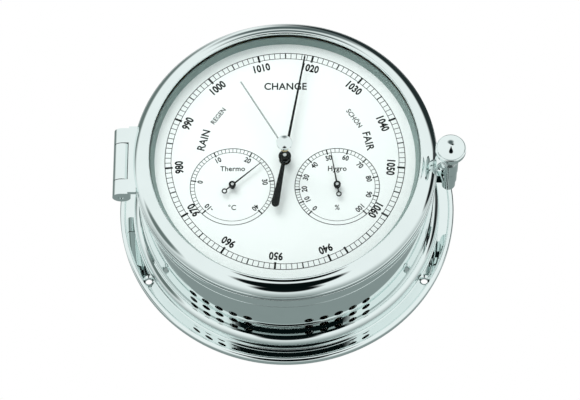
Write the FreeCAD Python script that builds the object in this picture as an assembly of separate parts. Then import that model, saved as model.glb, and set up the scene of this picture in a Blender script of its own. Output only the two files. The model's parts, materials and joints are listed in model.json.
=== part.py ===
import FreeCAD, Part
import math
import os

# Ship barometer with thermometer and hygrometer, for a bulkhead.
# X is to the right and Z is up as the dial is read. The wall is the plane Y = 0 and the dial looks along -Y.
# Depths called y_... are measured from the dial's front face, positive towards the wall.

# ---------------------------------------------------------------- driving sizes, millimetres
case_depth = 65.0          # wall to dial face
drum_r = 81.0              # outside of the case drum
drum_wall = 1.8
rim_r = 82.0               # front rim of the case
bezel_r = 81.9             # outside of the door ring
lip_r = 72.7               # clear opening of the door ring
flange_r = 92.5            # wall flange
bead_r = 84.5              # half-round bead at the drum's foot
mount_circle_r = 87.4
mount_hole_r = 1.9
dial_r = 74.0
dial_thick = 1.2
dial_seen_r = 70.1         # inside edge of the dial ring
scale_r = 64.5
sub_dial_x = 28.0
sub_dial_z = -16.0
glass_thick = 2.0
glass_rise = 11.3          # height of the domed glass over its edge
knuckle_r = 4.9            # hinge barrel
hinge_axis_x = -87.6
hinge_top = 19.0
hinge_bottom = -20.2
hinge_gap = 0.4
pin_r = 1.6
lock_circle_r = 88.4
lock_angle = 91.84         # clockwise from the top of the dial
lock_head_r = 8.1
vent_r = 2.5
vent_pitch = 5.83          # degrees between columns
vent_first = 11.74         # degrees from the pattern's middle to the nearest column
vent_middle = 182.66       # clockwise from the top
vent_rows = 3
vent_columns = 5
vent_row_pitch = 8.3
hand_reach = 62.5
hand_tail = 30.3
run_clear = 0.05           # shaft in its hole
free_clear = 0.4           # screw shank in a plain hole

# hands at rest, degrees clockwise from the top
pressure_rest = 9.9
temperature_rest = 48.8
humidity_rest = -9.6
set_rest = -29.5

# movement
sector_r = 30.0
pinion_r = 2.5
pinion_teeth = 10
sector_ratio = sector_r / pinion_r
pressure_middle = -40.5    # hand angle in the middle of its scale
capsule_r = 24.0

os.makedirs("parts", exist_ok=True)
V = FreeCAD.Vector
Y_AXIS = V(0, 1, 0)
made = {}


# ---------------------------------------------------------------- helpers
def wy(y):
    """Y of a depth measured from the dial face."""
    return y - case_depth


def save(name, *solids):
    shape = solids[0] if len(solids) == 1 else Part.makeCompound(list(solids))
    made[name] = shape
    shape.exportStep("parts/" + name + ".step")


def rod(r, y0, y1, x=0.0, z=0.0):
    """Cylinder along Y between two depths."""
    low = min(y0, y1)
    return Part.makeCylinder(r, abs(y1 - y0), V(x, wy(low), z), Y_AXIS)


def ring(r_out, r_in, y0, y1, x=0.0, z=0.0):
    low = min(y0, y1)
    high = max(y0, y1)
    return rod(r_out, low, high, x, z).cut(rod(r_in, low - 1, high + 1, x, z))


def block(x0, x1, y0, y1, z0, z1):
    return Part.makeBox(x1 - x0, y1 - y0, z1 - z0, V(x0, wy(y0), z0))


def turned(points, x=0.0, z=0.0):
    """Solid turned about a Y axis from (radius, depth) points; a triple (r, y, "arc") is a point inside an arc."""
    edges = []
    here = None
    middle = None
    for point in points + [points[0]]:
        place = V(point[0], wy(point[1]), 0)
        if len(point) == 3:
            middle = place
            continue
        if here is not None and here.distanceToPoint(place) > 1e-6:
            if middle is None:
                edges.append(Part.makeLine(here, place))
            else:
                edges.append(Part.Arc(here, middle, place).toShape())
        middle = None
        here = place
    face = Part.Face(Part.Wire(edges))
    solid = face.revolve(V(0, 0, 0), Y_AXIS, 360)
    solid.translate(V(x, 0, z))
    return solid


def polygon(points, y0, y1, x=0.0, z=0.0):
    """Flat plate with an outline of (x, z) points between two depths."""
    wire = Part.makePolygon([V(px + x, wy(y0), pz + z) for px, pz in points + [points[0]]])
    return Part.Face(wire).extrude(V(0, y1 - y0, 0))


def clockwise(shape, degrees, x=0.0, z=0.0):
    """Turns a copy clockwise as the dial is read."""
    copy = shape.copy()
    copy.rotate(V(x, 0, z), Y_AXIS, degrees)
    return copy


def around(angle, r):
    """(x, z) of a place on a circle, its angle clockwise from the top."""
    a = math.radians(angle)
    return r * math.sin(a), r * math.cos(a)


def radial(r, r0, r1, y, angle):
    """Cylinder that points outwards from the case's axis."""
    x0, z0 = around(angle, r0)
    x1, z1 = around(angle, r1)
    return Part.makeCylinder(r, r1 - r0, V(x0, wy(y), z0), V(x1 - x0, 0, z1 - z0))


def joined(solids):
    whole = solids[0]
    for solid in solids[1:]:
        whole = whole.fuse(solid)
    return whole.removeSplitter()


def slotted_screw(x, z, y_head, direction, head_r, head_h, shank_r, length):
    """Cheese-head screw along Y. direction is +1 where the shank points to the wall."""
    head = rod(head_r, y_head, y_head + direction * head_h, x, z)
    shank = rod(shank_r, y_head + direction * head_h, y_head + direction * (head_h + length), x, z)
    y_slot = y_head + direction * head_h * 0.5
    low = min(y_head - direction * 0.1, y_slot)
    high = max(y_head - direction * 0.1, y_slot)
    slot = block(x - head_r, x + head_r, low, high, z - head_r * 0.14, z + head_r * 0.14)
    return head.fuse(shank).cut(slot)


# ---------------------------------------------------------------- wall flange, drum, back
y_wall = case_depth
y_annulus = y_wall - 3.4
y_bead_top = y_wall - 12.2
y_drum_foot = y_wall - 4.5
drum_in = drum_r - drum_wall
ledge_in = 74.0
back_recess = 2.0
back_r = 77.8
flange_profile = [
    (back_r, y_wall), (flange_r, y_wall), (flange_r, y_wall - 2.0),
    (flange_r - 0.6, y_annulus - 0.6, "arc"), (flange_r - 1.6, y_annulus - 1.1),
    (flange_r - 2.7, y_annulus - 0.7, "arc"), (flange_r - 3.1, y_annulus),
    (bead_r + 0.8, y_annulus), (bead_r + 0.2, y_annulus - 0.3, "arc"), (bead_r, y_annulus - 0.9),
    (bead_r, y_annulus - 2.0), (bead_r - 0.9, y_bead_top + 2.6, "arc"), (drum_r + 0.7, y_bead_top),
    (drum_r, y_bead_top), (drum_r, y_drum_foot), (ledge_in, y_drum_foot),
    (ledge_in, y_wall - back_recess), (back_r, y_wall - back_recess),
]
flange = turned(flange_profile)
for k in range(3):
    hx, hz = around(120 * k, mount_circle_r)
    flange = flange.cut(rod(mount_hole_r, y_annulus - 3, y_wall + 1, hx, hz))
    sink = Part.makeCone(mount_hole_r + 1.1, mount_hole_r, 1.1, V(hx, wy(y_annulus), hz), Y_AXIS)
    flange = flange.cut(sink).cut(rod(mount_hole_r + 1.1, y_annulus - 2.2, y_annulus, hx, hz))
back_screw_r = (ledge_in + back_r) / 2
back_screw_angles = [60, 180, 300]
for angle in back_screw_angles:
    bx, bz = around(angle, back_screw_r)
    flange = flange.cut(rod(1.0, y_drum_foot - 1, y_wall, bx, bz))
save("wall_flange", flange)

y_seam = 12.0
y_case_screw = 33.0
case_screw_angles = [0, 127, 233]
drum = ring(drum_r, drum_in, y_seam, y_drum_foot)
last_row = y_case_screw - 0.5
for side in (-1, 1):
    for column in range(vent_columns):
        angle = vent_middle + side * (vent_first + column * vent_pitch)
        for row in range(vent_rows):
            y_hole = last_row + row * vent_row_pitch
            drum = drum.cut(radial(vent_r, drum_in - 3, drum_r + 3, y_hole, angle))
for angle in case_screw_angles:
    drum = drum.cut(radial(1.6, drum_in - 3, drum_r + 3, y_case_screw, angle))

y_rim = 1.0
seal_in = 78.8
seal_out = 80.6
y_seal_floor = 2.6
y_ledge = dial_thick
ledge_r = 70.6
ring_wall_in = 77.5
spigot_r = drum_in - run_clear
y_spigot = 16.5
front_profile = [
    (ledge_r, y_ledge), (dial_r + 0.2, y_ledge), (dial_r + 0.2, y_rim), (seal_in, y_rim),
    (seal_in, y_seal_floor), (seal_out, y_seal_floor), (seal_out, y_rim), (rim_r - 0.3, y_rim),
    (rim_r, y_rim + 0.3), (rim_r, y_rim + 2.2), (drum_r + 0.3, y_rim + 2.9, "arc"), (drum_r, y_rim + 4.0),
    (drum_r, y_seam - 0.3), (drum_r - 0.3, y_seam), (spigot_r, y_seam), (spigot_r, y_spigot),
    (ring_wall_in, y_spigot), (ring_wall_in, y_ledge + 3.0), (ledge_r, y_ledge + 3.0),
]
front = turned(front_profile)
dial_screw_r = 71.6
dial_screw_angles = [30, 150, 270]
for angle in dial_screw_angles:
    sx, sz = around(angle, dial_screw_r)
    front = front.cut(rod(0.5, y_ledge - 1, y_ledge + 4, sx, sz))
save("door_seal", ring(seal_out, seal_in, y_seal_floor, y_rim - 0.75))

back_plate = rod(back_r - 0.3, y_wall - back_recess, y_wall - 0.6)
back_plate = back_plate.cut(rod(5.0, y_wall - 4, y_wall + 1))
for angle in back_screw_angles:
    bx, bz = around(angle, back_screw_r)
    back_plate = back_plate.cut(rod(1.2, y_wall - 4, y_wall, bx, bz))
save("back_plate", back_plate)
back_screws = []
for angle in back_screw_angles:
    bx, bz = around(angle, back_screw_r)
    back_screws.append(slotted_screw(bx, bz, y_wall - 0.1, -1, 1.6, 0.5, 0.95, 3.4))
save("back_plate_screws", *back_screws)

# ---------------------------------------------------------------- dial and dial ring
dial = rod(dial_r, 0, dial_thick)
dial = dial.cut(rod(3.2, -1, dial_thick + 1))
for side in (-1, 1):
    dial = dial.cut(rod(1.4, -1, dial_thick + 1, side * sub_dial_x, sub_dial_z))
for angle in dial_screw_angles:
    sx, sz = around(angle, dial_screw_r)
    dial = dial.cut(rod(0.5, -1, dial_thick + 1, sx, sz))
save("dial", dial)
y_ring_top = -4.0
dial_ring_r = lip_r - 0.1
dial_ring = turned([
    (dial_seen_r, 0), (dial_ring_r, 0), (dial_ring_r, y_ring_top), (dial_ring_r - 0.7, y_ring_top),
])
dial_screws = []
for angle in dial_screw_angles:
    sx, sz = around(angle, dial_screw_r)
    dial_ring = dial_ring.cut(rod(0.45, -1.6, 1, sx, sz))
    head = rod(1.2, y_ledge + 3.0, y_ledge + 3.8, sx, sz)
    dial_screws.append(rod(0.4, -1.4, y_ledge + 3.4, sx, sz).fuse(head).removeSplitter())
save("dial_screws", *dial_screws)
save("dial_ring", dial_ring)

# ---------------------------------------------------------------- door: ring, glass, gasket, retaining ring
y_door_back = 0.05
pocket_r = 76.2
wide_pocket_r = 78.3
y_lip = -7.3
y_glass_seat = -6.3
y_shoulder = -2.2
bezel = turned([
    (wide_pocket_r, y_door_back), (bezel_r, y_door_back), (bezel_r, -1.4), (bezel_r - 0.4, -2.1),
    (79.5, -4.95, "arc"), (lip_r + 1.5, y_lip - 0.3), (lip_r + 0.4, y_lip - 0.1, "arc"), (lip_r, y_lip + 0.4),
    (lip_r, y_glass_seat), (pocket_r, y_glass_seat), (pocket_r, y_shoulder), (wide_pocket_r, y_shoulder),
])
keeper_in = lip_r + 0.8
keeper_out = wide_pocket_r - 0.2
y_keeper_top = -3.6
keeper = turned([
    (keeper_in, y_keeper_top), (pocket_r - 0.15, y_keeper_top), (pocket_r - 0.15, y_shoulder),
    (keeper_out, y_shoulder), (keeper_out, y_shoulder + 1.2), (keeper_in, y_shoulder + 1.2),
])
keeper_screw_r = (pocket_r + wide_pocket_r) / 2
keeper_screws = []
for k in range(4):
    kx, kz = around(45 + 90 * k, keeper_screw_r)
    bezel = bezel.cut(rod(0.7, y_shoulder - 2.4, y_door_back, kx, kz))
    keeper = keeper.cut(rod(0.8, y_shoulder - 1, y_door_back, kx, kz))
    keeper_screws.append(slotted_screw(kx, kz, y_shoulder + 1.9, -1, 0.95, 0.7, 0.65, 3.2))
save("glass_retaining_ring", keeper)
save("retaining_ring_screws", *keeper_screws)
save("glass_gasket", ring(pocket_r - 0.15, keeper_in, y_glass_seat + glass_thick, y_keeper_top))
y_crest = y_glass_seat - glass_rise
glass_out_r = pocket_r - 0.15
sphere_r = (lip_r ** 2 + glass_rise ** 2) / (2 * glass_rise)


def dome_depth(r, back):
    """Depth of the glass at a radius; back is 0 on its outer face and the thickness on its inner face."""
    big = sphere_r - back
    return y_crest + sphere_r - math.sqrt(big ** 2 - r ** 2)


dome_edge = lip_r - 0.25
glass_hole_r = 1.6
y_glass_back = y_glass_seat + glass_thick
inner_edge = math.sqrt((sphere_r - glass_thick) ** 2 - (y_crest + sphere_r - y_glass_back) ** 2)
glass = turned([
    (0, y_crest), (dome_edge / 2, dome_depth(dome_edge / 2, 0), "arc"), (dome_edge, dome_depth(dome_edge, 0)),
    (dome_edge, y_glass_seat), (glass_out_r, y_glass_seat), (glass_out_r, y_glass_back),
    (inner_edge, y_glass_back), (inner_edge / 2, dome_depth(inner_edge / 2, glass_thick), "arc"),
    (0, y_crest + glass_thick),
])
glass = glass.cut(rod(glass_hole_r, y_crest - 2, y_crest + 5))
save("glass", glass)

# ---------------------------------------------------------------- hinge at the left
y_hinge = 4.6
knuckle_long = (hinge_top - hinge_bottom - 2 * hinge_gap) * 0.225
middle_top = hinge_top - knuckle_long - hinge_gap
middle_bottom = hinge_bottom + knuckle_long + hinge_gap


def barrel(z0, z1, r):
    return Part.makeCylinder(r, z1 - z0, V(hinge_axis_x, wy(y_hinge), z0), V(0, 0, 1))


leaf_solids = [block(-bezel_r - 2.2, -bezel_r + 2.4, -2.4, y_door_back + 0.3, hinge_bottom, hinge_top)]
pin_hole = barrel(hinge_bottom - 1, hinge_top + 1, pin_r + run_clear)
for z0, z1 in ((hinge_bottom, hinge_bottom + knuckle_long), (hinge_top - knuckle_long, hinge_top)):
    leaf_solids.append(barrel(z0, z1, knuckle_r))
    leaf_solids.append(block(hinge_axis_x, -bezel_r - 1.0, y_hinge - knuckle_r, y_hinge - 0.6, z0, z1))
case_knuckle_room = barrel(middle_bottom - hinge_gap, middle_top + hinge_gap, knuckle_r + hinge_gap)
door_leaf = joined(leaf_solids).cut(pin_hole).cut(case_knuckle_room).cut(bezel)
inside_door = rod(bezel_r, y_door_back, y_door_back + 2).fuse(rod(bezel_r - 3.0, -8, y_door_back + 2))
door_leaf = door_leaf.cut(inside_door)
leaf_screw_z = [hinge_bottom + knuckle_long / 2, hinge_top - knuckle_long / 2]
leaf_screw_y = y_door_back - 1.2
leaf_screws = []
for z in leaf_screw_z:
    hole_x = -math.sqrt(bezel_r ** 2 - z ** 2)
    thread = Part.makeCylinder(0.75, 5.4, V(hole_x - 3.0, wy(leaf_screw_y), z), V(1, 0, 0))
    door_leaf = door_leaf.cut(thread)
    bezel = bezel.cut(thread)
    leaf_screws.append(Part.makeCylinder(0.7, 4.6, V(hole_x - 2.4, wy(leaf_screw_y), z), V(1, 0, 0)))
save("door_hinge_leaf", door_leaf)
save("door_leaf_screws", *leaf_screws)

case_block = [barrel(middle_bottom, middle_top, knuckle_r)]
case_block.append(block(hinge_axis_x, -drum_r + 3.0, y_hinge, y_hinge + knuckle_r, middle_bottom, middle_top))
case_leaf = joined(case_block).cut(rod(drum_r, -8, y_seam - 0.3)).cut(rod(rim_r, -8, y_rim + 3.4))
case_leaf = case_leaf.cut(barrel(hinge_bottom - 1, hinge_top + 1, pin_r))
hinge_screws = []
for z in (middle_bottom + 5.0, middle_top - 5.0):
    y_screw = y_hinge + 2.6
    hole = Part.makeCylinder(1.0, 9.0, V(-drum_r - 2.6, wy(y_screw), z), V(1, 0, 0))
    case_leaf = case_leaf.cut(hole)
    front = front.cut(hole)
    head = Part.makeCylinder(2.0, 1.2, V(-drum_r + 4.2, wy(y_screw), z), V(1, 0, 0))
    shank = Part.makeCylinder(0.95, 6.5, V(-drum_r - 2.2, wy(y_screw), z), V(1, 0, 0))
    hinge_screws.append(shank.fuse(head))
save("case_hinge_leaf", case_leaf.cut(front))
save("hinge_screws", *hinge_screws)
save("hinge_pin", barrel(hinge_bottom + 0.3, hinge_top - 0.3, pin_r))

# ---------------------------------------------------------------- lock at the right
lock_x, lock_z = around(lock_angle, lock_circle_r)
ear_r = 4.5
lug_r = 4.2
shank_r = 2.5
y_ear_top = -4.5
y_ear_end = 6.5
y_lug_top = 7.3
y_lug_step = 17.5
y_lug_end = 24.5


def lock_web(y0, y1, half, reach):
    """Web between the case's side and the lock's axis."""
    web = block(reach, lock_circle_r, y0, y1, -half, half)
    return clockwise(web, lock_angle - 90)


ear = rod(ear_r, y_ear_top, y_ear_end, lock_x, lock_z)
ear = ear.fuse(lock_web(-2.4, y_door_back + 0.3, 3.6, bezel_r - 2.6)).removeSplitter()
ear = ear.cut(rod(shank_r + free_clear, y_ear_top - 1, y_ear_end + 1, lock_x, lock_z))
ear = ear.cut(bezel).cut(inside_door)
save("lock_ear", ear)
save("bezel_ring", bezel)
lug = rod(lug_r, y_lug_top, y_lug_step, lock_x, lock_z)
lug = lug.fuse(rod(lug_r - 0.5, y_lug_step, y_lug_end, lock_x, lock_z))
lug = lug.fuse(lock_web(y_lug_top + 1.2, y_lug_step - 0.6, 3.2, drum_r - 3.0)).removeSplitter()
lug = lug.cut(rod(drum_r, -8, y_lug_end + 2))
lug = lug.cut(rod(shank_r + free_clear, y_lug_top - 1, y_lug_step + 2, lock_x, lock_z))
lug_screws = []
for y_screw, wall_in in ((y_seam - 2.2, ring_wall_in), (y_seam + 3.2, ring_wall_in)):
    hole = radial(0.8, wall_in - 1, drum_r + 2.2, y_screw, lock_angle)
    lug = lug.cut(hole)
    front = front.cut(hole)
    drum = drum.cut(hole)
    screw = radial(0.75, wall_in, drum_r + 2.0, y_screw, lock_angle)
    head = radial(1.6, wall_in - 1.0, wall_in - 0.1, y_screw, lock_angle)
    neck = radial(0.75, wall_in - 0.2, wall_in + 0.1, y_screw, lock_angle)
    lug_screws.append(screw.fuse(head).fuse(neck))
save("lock_lug", lug)
save("lock_lug_screws", *lug_screws)
save("front_ring", front)
save("case_drum", drum)

y_head_under = -15.2
y_neck_end = y_ear_top - 0.75
lock_tail = 6.0
save("lock_screw", turned([
    (0, -22.6), (5.0, -21.7, "arc"), (lock_head_r - 0.8, -20.2), (lock_head_r - 0.2, -19.8, "arc"),
    (lock_head_r, -19.2), (lock_head_r, -16.4), (lock_head_r - 0.3, -15.7, "arc"),
    (lock_head_r - 1.1, y_head_under), (3.75, y_head_under), (3.75, y_neck_end), (shank_r, y_neck_end), (shank_r, y_lug_top + lock_tail - 0.6),
    (shank_r - 0.6, y_lug_top + lock_tail), (0, y_lug_top + lock_tail),
], lock_x, lock_z))
save("lock_washer", ring(lug_r, shank_r + run_clear, y_neck_end + 0.05, y_ear_top - 0.05, lock_x, lock_z))

# ---------------------------------------------------------------- set hand on the glass
y_inside = y_crest + glass_thick
spindle_r = 1.0
save("glass_bush", turned([
    (spindle_r + run_clear, y_crest - 0.5), (2.6, y_crest - 0.5), (2.6, dome_depth(glass_hole_r, 0)),
    (glass_hole_r, dome_depth(glass_hole_r, 0)), (glass_hole_r, y_inside + 0.9),
    (spindle_r + run_clear, y_inside + 0.9),
]))
save("bush_nut", ring(2.5, glass_hole_r, dome_depth(2.5, glass_thick), y_inside + 0.9))
y_knob_base = y_crest - 0.6
y_set_hub = y_inside + 1.0
save("set_knob", turned([
    (0, y_set_hub + 0.9), (spindle_r, y_set_hub + 0.9), (spindle_r, y_knob_base), (2.5, y_knob_base),
    (2.5, y_knob_base - 0.6), (4.25, y_knob_base - 1.6),
    (4.25, y_knob_base - 2.5), (4.0, y_knob_base - 2.8), (0, y_knob_base - 3.9),
]))
set_reach = 49.0
set_drop = 5.2
blade = Part.makeBox(0.8, 0.3, set_reach - 1.6, V(-0.4, wy(y_set_hub + 0.3), 1.6))
blade.rotate(V(0, wy(y_set_hub + 0.3), 1.6), V(1, 0, 0), -math.degrees(math.atan2(set_drop, set_reach)))
set_hub = ring(2.2, spindle_r, y_set_hub, y_set_hub + 0.8)
save("set_hand", clockwise(set_hub.fuse(blade).removeSplitter(), set_rest))

# ---------------------------------------------------------------- pressure hand and its arbor
y_hand = -4.6
hand_thick = 0.4
arbor_r = 1.0
y_rear_bridge = 22.5
bridge_thick = 1.5
y_front_bridge = 15.0
tail_half = 2.05
taper = polygon([(-0.75, 0), (-0.42, hand_reach - 1.5), (0, hand_reach), (0.42, hand_reach - 1.5), (0.75, 0)],
                y_hand, y_hand + hand_thick)
tail = polygon([(0.8, 0), (tail_half, tail_half - hand_tail), (-tail_half, tail_half - hand_tail), (-0.8, 0)],
               y_hand, y_hand + hand_thick)
tail_end = rod(tail_half, y_hand, y_hand + hand_thick, 0, tail_half - hand_tail)
hand_disc = rod(3.4, y_hand, y_hand + hand_thick)
hand = joined([taper, tail, tail_end, hand_disc]).cut(rod(arbor_r, y_hand - 1, y_hand + 1))
save("pressure_hand", clockwise(hand, pressure_rest))
save("hand_hub", turned([
    (arbor_r, y_hand), (3.2, y_hand), (3.2, y_hand - 0.6), (2.6, y_hand - 1.2), (arbor_r, y_hand - 1.2),
]))
save("hand_bush", ring(2.4, arbor_r, y_hand + hand_thick, -0.8))
save("hand_arbor", rod(arbor_r, y_hand - 1.4, y_rear_bridge + 1.2))

# ---------------------------------------------------------------- sector and pinion
tooth_pitch = 2 * math.pi * pinion_r / pinion_teeth
tooth_add = 0.42
tooth_ded = 0.62
y_gear = 18.5
gear_thick = 1.4
centre_gap = sector_r + pinion_r
sector_x = -centre_gap


def toothed(radius, count, first, half_root, half_tip, x):
    """List of tooth plates round a hub, the first tooth pointing to +X."""
    teeth = []
    for k in range(first, first + count):
        angle = 360.0 * k * tooth_pitch / (2 * math.pi * radius)
        outline = [(radius - tooth_ded - 0.2, -half_root), (radius + tooth_add, -half_tip),
                   (radius + tooth_add, half_tip), (radius - tooth_ded - 0.2, half_root)]
        plate = polygon(outline, y_gear, y_gear + gear_thick, x, 0)
        teeth.append(clockwise(plate, angle, x, 0))
    return teeth


pinion_body = ring(pinion_r - tooth_ded, arbor_r, y_gear - 0.5, y_gear + gear_thick + 0.5)
pinion_parts = [pinion_body] + toothed(pinion_r, pinion_teeth, 0, 0.42, 0.16, 0)
pinion = joined(pinion_parts).cut(rod(arbor_r, y_gear - 2, y_gear + 4))
half_pitch = 180.0 / pinion_teeth
save("pinion", clockwise(pinion, 180 + half_pitch))
sector_rest = -(pressure_rest - pressure_middle) / sector_ratio
reach_teeth = 14
sweep = math.degrees(reach_teeth * tooth_pitch / sector_r)
rim_out = sector_r - tooth_ded
rim_band = ring(rim_out, rim_out - 3.0, y_gear, y_gear + gear_thick, sector_x, 0)
half_sweep = math.radians(sweep)
wedge_far = rim_out + 5
wedge = polygon([(0, 0), (wedge_far * math.cos(half_sweep), wedge_far * math.sin(half_sweep)),
                 (wedge_far * 1.2, 0), (wedge_far * math.cos(half_sweep), -wedge_far * math.sin(half_sweep))],
                y_gear - 1, y_gear + gear_thick + 1, sector_x, 0)
spoke = block(sector_x, sector_x + rim_out - 1, y_gear, y_gear + gear_thick, -1.6, 1.6)
tail_long = 6.0
tail_bar = block(sector_x - 1.4, sector_x + 1.4, y_gear, y_gear + gear_thick, -tail_long - 1.4, 0)
sector_hub = rod(3.0, y_gear - 0.4, y_gear + gear_thick + 0.4, sector_x, 0)
sector = joined([rim_band.common(wedge), spoke, tail_bar, sector_hub]
                + toothed(sector_r, 2 * reach_teeth - 1, 1 - reach_teeth, 0.42, 0.16, sector_x))
stub_r = 1.2
sector = sector.cut(rod(stub_r, y_gear - 2, y_gear + 4, sector_x, 0))
whole_teeth = round(math.radians(sector_rest) * sector_r / tooth_pitch)
sector_mesh = math.degrees(whole_teeth * tooth_pitch / sector_r)
save("sector_arbor", rod(stub_r, y_front_bridge + 0.3, y_rear_bridge + 1.2, sector_x, 0))
tail_pin = rod(0.6, y_gear, y_gear + gear_thick + 1.6, sector_x, -tail_long)
sector = sector.fuse(tail_pin).removeSplitter()
save("toothed_sector", clockwise(sector, sector_mesh, sector_x, 0))

# ---------------------------------------------------------------- link and rocker
pin_angle = math.radians(sector_mesh)
pin_x = sector_x - tail_long * math.sin(pin_angle)
pin_z = -tail_long * math.cos(pin_angle)
rocker_x = -14.0
y_rocker = 28.0
y_link = y_gear + gear_thick + 0.7
link_thick = 0.7
arm_tip_y = y_link + link_thick / 2
arm_long = y_rocker - arm_tip_y
link_bar = block(pin_x, rocker_x, y_link, y_link + link_thick, pin_z - 0.8, pin_z + 0.8)
eye = rod(1.8, y_link, y_link + link_thick, pin_x, pin_z)
far_eye = block(rocker_x - 2.2, rocker_x + 2.2, y_link, y_link + link_thick, pin_z - 1.9, pin_z + 1.9)
link = joined([link_bar, eye, far_eye]).cut(rod(1.1, y_link - 1, y_link + 2, pin_x, pin_z))
link = link.cut(block(rocker_x - 1.3, rocker_x + 1.3, y_link - 1, y_link + 2, pin_z - 1.1, pin_z + 1.1))
save("link_rod", link)
rocker_half = 11.0
rocker_shaft = Part.makeCylinder(1.0, 2 * rocker_half, V(rocker_x, wy(y_rocker), -rocker_half), V(0, 0, 1))
long_arm = block(rocker_x - 0.5, rocker_x + 0.5, arm_tip_y - 0.5, y_rocker, pin_z - 0.6, pin_z + 0.6)
short_arm = block(rocker_x, rocker_x + 3.6, y_rocker - 0.5, y_rocker + 0.5, -1.0, 1.0)
save("rocking_shaft", joined([rocker_shaft, long_arm, short_arm]))

# ---------------------------------------------------------------- movement plates
bridge_x0 = -46.0
bridge_x1 = 34.0
bridge_z = 15.0
pillar_places = [(-42.0, 11.0), (-42.0, -11.0), (30.0, 11.5), (30.0, -11.5)]
y_base = 46.0
base_thick = 2.0
pillar_r = 2.4


def bridge(y0):
    plate = block(bridge_x0, bridge_x1, y0, y0 + bridge_thick, -bridge_z, bridge_z)
    upright = [edge for edge in plate.Edges if abs(edge.tangentAt(edge.FirstParameter).y) > 0.9]
    return plate.makeFillet(5.0, upright)


def pierced(plate, y0, r, x, z):
    return plate.cut(rod(r, y0 - 2, y0 + bridge_thick + 2, x, z))


front_bridge = bridge(y_front_bridge)
rear_bridge = bridge(y_rear_bridge)
front_bridge = pierced(front_bridge, y_front_bridge, arbor_r + run_clear, 0, 0)
rear_bridge = pierced(rear_bridge, y_rear_bridge, arbor_r + run_clear, 0, 0)
front_bridge = pierced(front_bridge, y_front_bridge, stub_r + run_clear, sector_x, 0)
rear_bridge = pierced(rear_bridge, y_rear_bridge, stub_r + run_clear, sector_x, 0)
rear_bridge = rear_bridge.cut(block(rocker_x - 3.5, rocker_x + 3.5, y_rear_bridge - 1, y_rear_bridge + 3,
                                    pin_z - 1.6, pin_z + 1.6))
for px, pz in pillar_places:
    front_bridge = pierced(front_bridge, y_front_bridge, 1.2, px, pz)
    rear_bridge = pierced(rear_bridge, y_rear_bridge, pillar_r - 0.6, px, pz)
save("front_bridge", front_bridge)
save("rear_bridge", rear_bridge)
rocker_cocks = []
for side in (-1, 1):
    z_mid = side * (rocker_half - 1.5)
    cock = block(rocker_x - 2.2, rocker_x + 2.2, y_rear_bridge + bridge_thick, y_rocker + 2.2, z_mid - 1, z_mid + 1)
    bearing = Part.makeCylinder(1.0 + run_clear, 6, V(rocker_x, wy(y_rocker), z_mid - 3), V(0, 0, 1))
    rocker_cocks.append(cock.cut(bearing))
save("rocker_bearings", *rocker_cocks)
base_r = 58.0
base = rod(base_r, y_base, y_base + base_thick)
lug_in = drum_in - 3.2
arm_half = 8.0
arm_parts = [base]
for angle in case_screw_angles:
    arm = block(-arm_half, arm_half, y_base, y_base + base_thick, base_r - 3, drum_in - 0.2)
    upright = block(-arm_half, arm_half, y_case_screw - 4, y_base + base_thick, lug_in, drum_in - 0.2)
    arm_parts.append(clockwise(arm.fuse(upright), angle))
base = joined(arm_parts).common(rod(drum_in - 0.2, y_case_screw - 10, y_base + 10))
for angle in case_screw_angles:
    base = base.cut(radial(1.25, lug_in - 2, drum_in + 1, y_case_screw, angle))
base = base.cut(rod(2.55, y_base - 1, y_base + 4))
save("movement_base", base)
case_screws = []
for angle in case_screw_angles:
    screw = radial(1.2, lug_in - 0.6, drum_r - 0.9, y_case_screw, angle)
    socket = radial(0.7, drum_r - 2.2, drum_r, y_case_screw, angle)
    case_screws.append(screw.cut(socket))
save("case_screws", *case_screws)
rear_pillars = []
front_pillars = []
bridge_screws = []
for px, pz in pillar_places:
    stud = rod(pillar_r - 0.6, y_rear_bridge, y_rear_bridge + bridge_thick, px, pz)
    rear_pillars.append(rod(pillar_r, y_rear_bridge + bridge_thick, y_base, px, pz).fuse(stud).removeSplitter())
    tube = rod(pillar_r - 0.3, y_front_bridge + bridge_thick, y_rear_bridge, px, pz)
    front_pillars.append(tube.cut(rod(1.2, y_front_bridge, y_front_bridge + 5, px, pz)))
    bridge_screws.append(slotted_screw(px, pz, y_front_bridge - 1.0, 1, 2.2, 1.0, 1.1, 4.0))
save("rear_pillars", *rear_pillars)
save("front_pillars", *front_pillars)
save("bridge_screws", *bridge_screws)

# ---------------------------------------------------------------- capsule, spring and lever
y_capsule = 40.0
y_boss = 34.0              # face of the capsule's front boss
cap_wall = 0.5


def diaphragm(y_rim_face, y_end, boss_r):
    """Half a corrugated capsule, from its rim to its boss."""
    way = 1 if y_end > y_rim_face else -1
    wall = cap_wall * way
    step = (y_end - 2 * wall - y_rim_face) / 5.0
    radii = [capsule_r - 3, capsule_r - 6, capsule_r - 9, capsule_r - 12, capsule_r - 15]
    outer = [(capsule_r, y_rim_face), (capsule_r, y_rim_face + wall)]
    inner = [(capsule_r - 3.5, y_rim_face)]
    for k, r in enumerate(radii):
        crest = y_rim_face + step * (k + 1) if k % 2 == 0 else y_rim_face + step * (k + 0.4)
        outer.append((r, crest + wall))
        inner.append((r - 0.4, crest))
    outer += [(boss_r, y_end - wall), (boss_r, y_end), (0, y_end)]
    inner += [(0, y_end - wall * 2)]
    return turned(outer + inner[::-1])


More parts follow.
